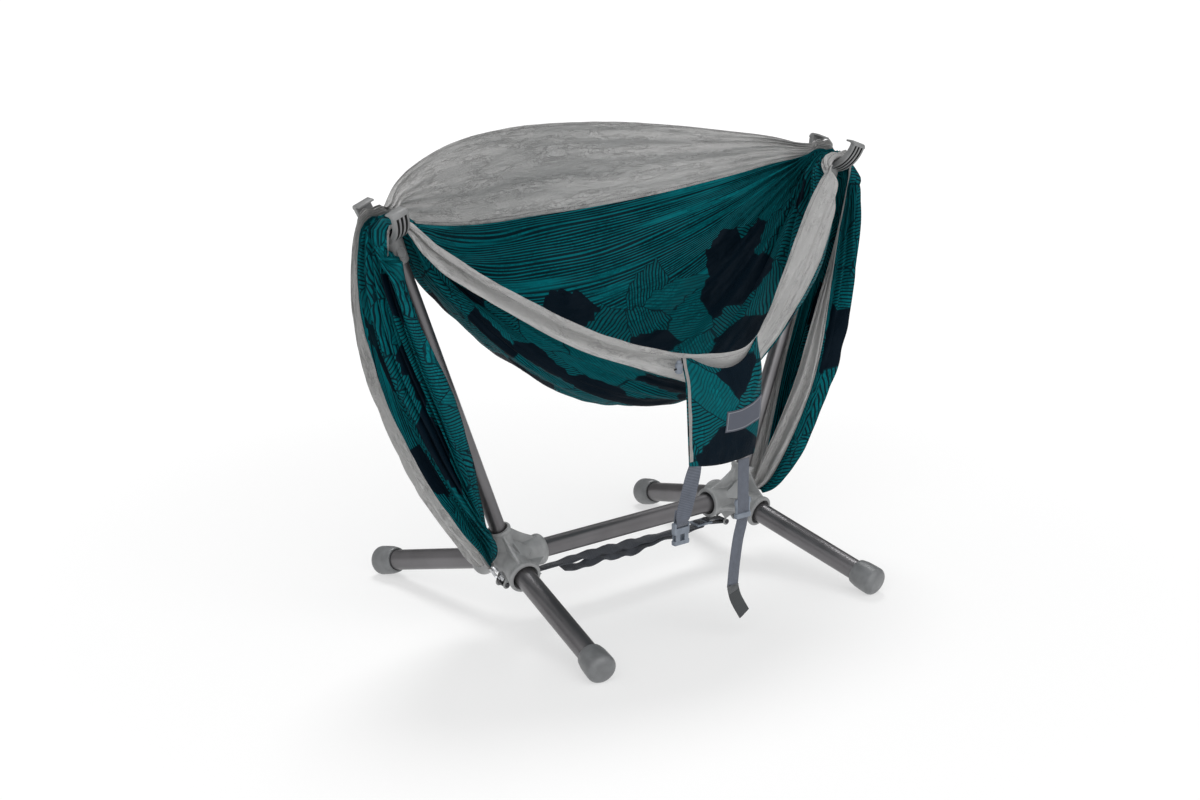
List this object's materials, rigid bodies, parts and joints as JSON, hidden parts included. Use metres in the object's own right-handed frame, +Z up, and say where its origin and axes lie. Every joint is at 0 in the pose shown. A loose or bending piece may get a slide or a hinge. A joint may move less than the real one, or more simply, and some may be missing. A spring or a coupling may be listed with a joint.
{
  "type": "portable hammock with folding-pole stand",
  "caption": "Low portable hammock chair: tubular pole stand with moulded hubs and ribbed yokes, cloth seat of grey and teal panels, hanging pouch and webbing straps.",
  "frame": {"origin": "on the floor, midway between the four feet, below the middle of the spreader bar", "axes": "+X along the spreader bar to the sitter's left, +Y to the seat's high back edge, +Z up"},
  "size_m": [1.092, 0.689, 0.8424],
  "materials": {
    "hub_plastic": "moulded, fine matt texture",
    "cap_rubber": "matt moulded rubber",
    "tube_metal": "dark gunmetal anodised, satin",
    "steel": "bright polished wire and pins",
    "teal_cloth": "thin ripstop nylon, slight sheen",
    "grey_cloth": "thin ripstop nylon, slight sheen",
    "grey_cord": "braided cord",
    "black_webbing": "woven webbing",
    "slate_webbing": "woven webbing",
    "slate_plastic": "moulded, slight sheen",
    "label_cloth": "woven patch, no text"
  },
  "bodies": {
    "stand": {"back_panel": "grey_cloth", "base_strap": "black_webbing", "base_strap_buckle": "slate_plastic", "base_strap_loop": "black_webbing", "centre_panel": "teal_cloth", "front_panel": "grey_cloth", "left_anchor_loop": "black_webbing", "left_anchor_pin": "steel", "left_carabiner": "steel", "left_end_loop": "grey_cord", "left_hub": "hub_plastic", "left_strap_pin": "steel", "left_upright": "tube_metal", "left_yoke": "hub_plastic", "right_anchor_loop": "black_webbing", "right_anchor_pin": "steel", "right_carabiner": "steel", "right_end_loop": "grey_cord", "right_hub": "hub_plastic", "right_strap_pin": "steel", "right_upright": "tube_metal", "right_yoke": "hub_plastic", "spreader_bar": "tube_metal"},
    "pouch": {"pouch": "teal_cloth", "pouch_label": "label_cloth", "drawcord": "black_webbing", "cord_lock_body": "slate_plastic"},
    "lock_button": {"cord_lock_button": "slate_plastic"},
    "short_strap": {"short_strap": "slate_webbing", "buckle_socket": "slate_plastic"},
    "long_strap": {"long_strap": "slate_webbing", "strap_end_tab": "slate_webbing"},
    "buckle_prongs": {"buckle_prongs": "slate_plastic"},
    "left_gate": {"left_gate": "steel"},
    "right_gate": {"right_gate": "steel"},
    "front_left_leg": {"front_left_leg": "tube_metal", "front_left_foot": "cap_rubber"},
    "back_left_leg": {"back_left_leg": "tube_metal", "back_left_foot": "cap_rubber"},
    "front_right_leg": {"front_right_leg": "tube_metal", "front_right_foot": "cap_rubber"},
    "back_right_leg": {"back_right_leg": "tube_metal", "back_right_foot": "cap_rubber"}
  },
  "joints": [
    {"name": "front_left_leg_pull", "type": "slide", "parent": "stand", "child": "front_left_leg", "axis": [-0.151, -0.9536, -0.2605], "range_m": [0, 0.04]},
    {"name": "back_left_leg_pull", "type": "slide", "parent": "stand", "child": "back_left_leg", "axis": [-0.151, 0.9536, -0.2605], "range_m": [0, 0.04]},
    {"name": "front_right_leg_pull", "type": "slide", "parent": "stand", "child": "front_right_leg", "axis": [0.151, -0.9536, -0.2605], "range_m": [0, 0.04]},
    {"name": "back_right_leg_pull", "type": "slide", "parent": "stand", "child": "back_right_leg", "axis": [0.151, 0.9536, -0.2605], "range_m": [0, 0.04]},
    {"name": "left_gate_hinge", "type": "hinge", "parent": "stand", "child": "left_gate", "pos_m": [-0.29448, -0.0115, 0.08578], "axis": [-0.8283, 0, -0.5602], "range_deg": [0, 25], "stiffness_Nm_per_rad": 0.03, "springref_deg": -14.32},
    {"name": "right_gate_hinge", "type": "hinge", "parent": "stand", "child": "right_gate", "pos_m": [0.29448, -0.0115, 0.08578], "axis": [-0.8283, 0, 0.5602], "range_deg": [0, 25], "stiffness_Nm_per_rad": 0.03, "springref_deg": -14.32},
    {"name": "pouch_swing", "type": "hinge", "parent": "stand", "child": "pouch", "pos_m": [-0.042, -0.3005, 0.5385], "axis": [-1, 0, 0], "range_deg": [0, 35]},
    {"name": "lock_button_press", "type": "slide", "parent": "pouch", "child": "lock_button", "axis": [0, 0, -1], "range_m": [0, 0.004], "stiffness_N_per_m": 250, "springref_m": -0.002},
    {"name": "short_strap_swing", "type": "hinge", "parent": "pouch", "child": "short_strap", "pos_m": [-0.117, -0.32673, 0.33577], "axis": [-1, 0, 0], "range_deg": [-30, 40]},
    {"name": "long_strap_swing", "type": "hinge", "parent": "pouch", "child": "long_strap", "pos_m": [-0.007, -0.32673, 0.33107], "axis": [-1, 0, 0], "range_deg": [-30, 40]},
    {"name": "buckle_prongs_slide", "type": "slide", "parent": "long_strap", "child": "buckle_prongs", "axis": [0, 0, 1], "range_m": [0, 0.045]}
  ]
}
